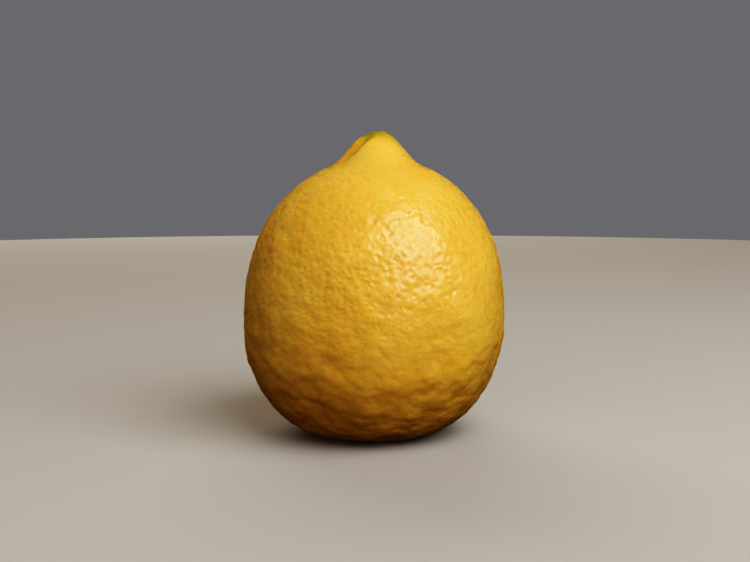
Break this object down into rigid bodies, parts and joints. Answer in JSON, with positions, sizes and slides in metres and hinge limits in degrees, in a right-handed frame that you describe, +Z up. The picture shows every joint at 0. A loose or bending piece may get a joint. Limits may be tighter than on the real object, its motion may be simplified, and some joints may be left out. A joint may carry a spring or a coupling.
{
  "type": "lemon",
  "caption": "Whole fresh lemon standing on its stem end: plump yellow body with a dimpled waxy peel, drawn up at the top into a blunt, furrowed nipple.",
  "frame": {"origin": "on the surface that the lemon stands on, below the centre of its box", "axes": "+Z up from the stem end to the nipple, which is the lemon's long axis; -Y towards the front, whose nipple has the deep furrow at its left; +X to the right as seen from the front"},
  "size_m": [0.0632, 0.0634, 0.0725],
  "materials": {
    "peel": "satin"
  },
  "bodies": {
    "root": {"lemon": "peel"}
  },
  "joints": []
}
